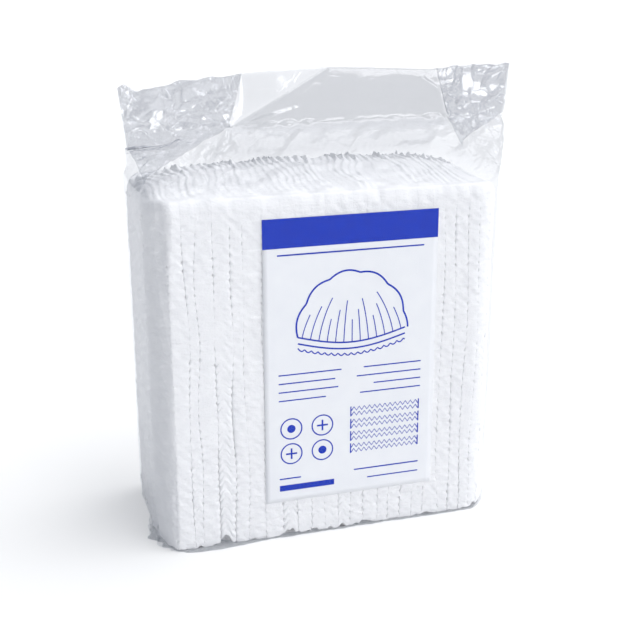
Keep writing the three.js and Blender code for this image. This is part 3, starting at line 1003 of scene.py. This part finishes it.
class Print:
    """Collects flat ink shapes, in millimetres from the label's lower left, and lays them on it."""

    def __init__(self):
        self.points = []
        self.faces = []

    def line(self, points, width):
        middle = np.array(points, float)
        tangent = np.vstack([middle[1:], middle[-1:]]) - np.vstack([middle[:1], middle[:-1]])
        tangent /= np.maximum(np.linalg.norm(tangent, axis=1, keepdims=True), 1e-9)
        side = np.stack([-tangent[:, 1], tangent[:, 0]], -1) * width / 2
        first, count = len(self.points), len(middle)
        self.points.extend([*(middle + side), *(middle - side)])
        for i in range(first, first + count - 1):
            self.faces.append((i, i + 1, count + i + 1, count + i))

    def rule(self, start, end, z, width=0.7):
        self.line([(start, z), (end, z)], width)

    def bar(self, start, end, low, high, steps):
        """A filled bar in steps, so that it follows the label."""
        first = len(self.points)
        for x in np.linspace(start, end, steps + 1):
            self.points.extend([(x, low), (x, high)])
        for a in range(first, first + 2 * steps, 2):
            self.faces.append((a, a + 2, a + 3, a + 1))

    def disc(self, centre, radius, steps=40):
        first = len(self.points)
        self.points.append(centre)
        for i in range(steps):
            a = 2 * math.pi * i / steps
            self.points.append((centre[0] + radius * math.cos(a), centre[1] + radius * math.sin(a)))
        for i in range(steps):
            self.faces.append((first, first + 1 + i, first + 1 + (i + 1) % steps))

    def build(self, material):
        place = np.array([(p[0], p[1]) for p in self.points]) * MM
        x = LABEL_LO.x + place[:, 0]
        z = LABEL_LO.z + place[:, 1]
        y = label_surface(x, z) - INK_STAND_OFF
        return new_object("label_print", np.stack([x, y, z], -1), self.faces, material, smooth=False)


def circle(centre, radius):
    angles = np.linspace(0.0, 2 * math.pi, CIRCLE_POINTS)
    return [(centre[0] + radius * math.cos(a), centre[1] + radius * math.sin(a)) for a in angles]


def zigzag(start, length, height, count):
    """A pleated strip's edge: a line of teeth."""
    steps = 2 * count
    return [(start[0] + length * i / steps, start[1] + height * (i % 2)) for i in range(steps + 1)]


def draw_cap(ink, centre, width, height):
    """A puffed cap from the side: its lobed dome, its band and ruffle, and its gathers."""
    half = width / 2
    dome = []
    for a in np.linspace(0, math.pi, 91):
        lobe = 0.05 * half * abs(math.sin(a * 5.5))
        dome.append((centre[0] - (half + lobe) * math.cos(a), centre[1] + (height + lobe) * math.sin(a)))
    ink.line(dome, 1.0)

    def sag(share):
        return -0.09 * width * math.sin(math.pi * share)

    left = centre[0] - half
    shares = [i / 120 for i in range(121)]
    for drop, ruffle, line_width in ((0.0, 0.0, 0.9), (3.6, 0.0, 0.9), (6.2, 1.4, 0.7)):
        points = []
        for t in shares:
            points.append((left + width * t, centre[1] - drop + sag(t) - ruffle * abs(math.sin(t * 51))))
        ink.line(points, line_width)
    gather_count, points_each = 13, 16
    for i in range(gather_count):
        share = (i + 0.5) / gather_count
        lean = 2 * share - 1
        reach = 0.38 + 0.16 * (i % 3)
        points = []
        for k in range(points_each):
            t = k / (points_each - 1) * reach
            across = centre[0] + lean * half * math.sqrt(max(0.0, 1 - t**2)) * (1 - 0.25 * t)
            points.append((across, centre[1] + sag(share) + height * t))
        ink.line(points, 0.55)


def label_print(material):
    """A plain design in one blue: a band, a puffed cap, pleated strips, round signs and rules. All
    its places and sizes are millimetres from the label's lower left."""
    ink = Print()
    left, right = 8, 91
    ink.bar(0.0, 99.0, 147.0, 163.0, steps=40)
    ink.rule(left, right, 143.2, 0.8)
    draw_cap(ink, (50, 97), 62, 34)

    rule_lengths = ((36.0, 34), (32.4, 38), (34.2, 28), (27.0, 36))
    rule_top, rule_pitch = 76, 5.0
    for i, (left_length, right_length) in enumerate(rule_lengths):
        z = rule_top - rule_pitch * i
        ink.rule(left, left + left_length, z)
        ink.rule(right - right_length, right, z)

    strip_left, strip_length, strip_foot, strip_pitch, strip_height = 50, 40, 25, 7.5, 3.0
    for i in range(4):
        z = strip_foot + strip_pitch * i
        for edge in (z, z + strip_height):
            ink.line(zigzag((strip_left, edge), strip_length, 2.2, 13), 0.6)
        for x in (strip_left - 0.3, strip_left + strip_length + 0.3):
            ink.line([(x, z - 0.4), (x, z + 5.6)], 0.7)

    arm = 3.2
    for i, (x, z) in enumerate(((15, 44), (33, 44), (15, 29), (33, 29))):
        ink.line(circle((x, z), 6.0), 0.75)
        if i % 3 == 0:
            ink.disc((x, z), 2.4)
        else:
            ink.rule(x - arm, x + arm, z, 1.0)
            ink.line([(x, z - arm), (x, z + arm)], 1.0)
    ink.rule(left, right, 14, 0.8)
    ink.bar(left, 40.0, 6.5, 10.0, steps=6)
    ink.rule(60, right, 8.2)
    return ink.build(material)


# The studio

def aim(name, data, place, back):
    """A camera or lamp at a place, with its back towards the direction."""
    thing = bpy.data.objects.new(name, data)
    thing.location = place
    thing.rotation_mode = "QUATERNION"
    thing.rotation_quaternion = (-back).to_track_quat("-Z", "Y")
    bpy.context.scene.collection.objects.link(thing)
    return thing


def camera():
    data = bpy.data.cameras.new("photo_camera")
    data.sensor_width = SENSOR_MM
    data.lens = SENSOR_MM * FOCAL_PIXELS / FRAME_PIXELS
    data.clip_start, data.clip_end = 0.01, 50
    back = Vector((
        math.sin(VIEW_AZIMUTH) * math.cos(VIEW_ELEVATION),
        -math.cos(VIEW_AZIMUTH) * math.cos(VIEW_ELEVATION),
        math.sin(VIEW_ELEVATION),
    ))
    place = VIEW_TARGET + back * VIEW_DISTANCE
    bpy.context.scene.camera = aim("photo_camera", data, place, back)


def sun(name, direction, strength, angle, colour):
    """A wide soft lamp that shines from a direction, angle degrees across."""
    data = bpy.data.lights.new(name, "SUN")
    data.energy = strength
    data.angle = math.radians(angle)
    data.color = colour
    aim(name, data, direction, Vector(direction))


def sky():
    """A white tent: bright overhead and on the right, greyer towards the horizon and on the left, so
    that the film has something to mirror."""
    world = bpy.data.worlds.new("studio")
    world.use_nodes = True
    tree = world.node_tree
    background = tree.nodes["Background"]
    coordinates = node(tree, "ShaderNodeTexCoord")
    split = node(tree, "ShaderNodeSeparateXYZ")
    tree.links.new(coordinates.outputs["Generated"], split.inputs[0])
    height = maths(tree, "MULTIPLY_ADD", split.outputs["X"], SKY_TILT, split.outputs["Z"])
    tree.links.new(ramp(tree, height, SKY_STOPS), background.inputs["Color"])
    background.inputs["Strength"].default_value = SKY_STRENGTH
    bpy.context.scene.world = world


def studio():
    scene = bpy.context.scene
    scene.view_settings.view_transform = "Standard"
    scene.view_settings.look = "None"
    sky()
    sun("key", KEY_DIRECTION, KEY_STRENGTH, KEY_ANGLE, KEY_COLOUR)
    sun("front", FRONT_DIRECTION, FRONT_STRENGTH, FRONT_ANGLE, FRONT_COLOUR)
    points = [(x * FLOOR_HALF, y * FLOOR_HALF, 0) for x, y in ((-1, -1), (1, -1), (1, 1), (-1, 1))]
    floor = new_object("studio_floor", points, [(0, 1, 2, 3)], floor_material(), smooth=False)


def main():
    camera()
    studio()
    nonwoven = nonwoven_material()
    for column in range(COLUMNS):
        number = f"{column + 1:02d}"
        front_box, back_box = FRONT_BOXES[column], BACK_BOXES[column]
        front = cap_strip(f"pleated_cap_front_{number}", column, front_box, -1, FRONT_SEED, nonwoven)
        back = cap_strip(f"pleated_cap_back_{number}", column, back_box, 1, BACK_SEED, nonwoven)
        for piece, cad in ((front, f"cap_front_{number}"), (back, f"cap_back_{number}")):
            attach(piece, "root")
            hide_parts(cad)
    inner_rows = (
        ("second", SECOND_LO, SECOND_HI, ROW_PLANES[:2]),
        ("third", THIRD_LO, THIRD_HI, ROW_PLANES[1:]),
    )
    for name, lo, hi, planes in inner_rows:
        block = inner_block(f"pleated_caps_{name}_row", lo, hi, *planes, nonwoven)
        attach(block, "root")
        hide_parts(f"caps_{name}_row")
    paper = label_sheet(paper_material())
    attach(paper, "root")
    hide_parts("label_sheet")
    printed = label_print(ink_material())
    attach(printed, "root")
    film = film_bag(film_material())
    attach(film, "root")
    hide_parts("film_bag")


main()
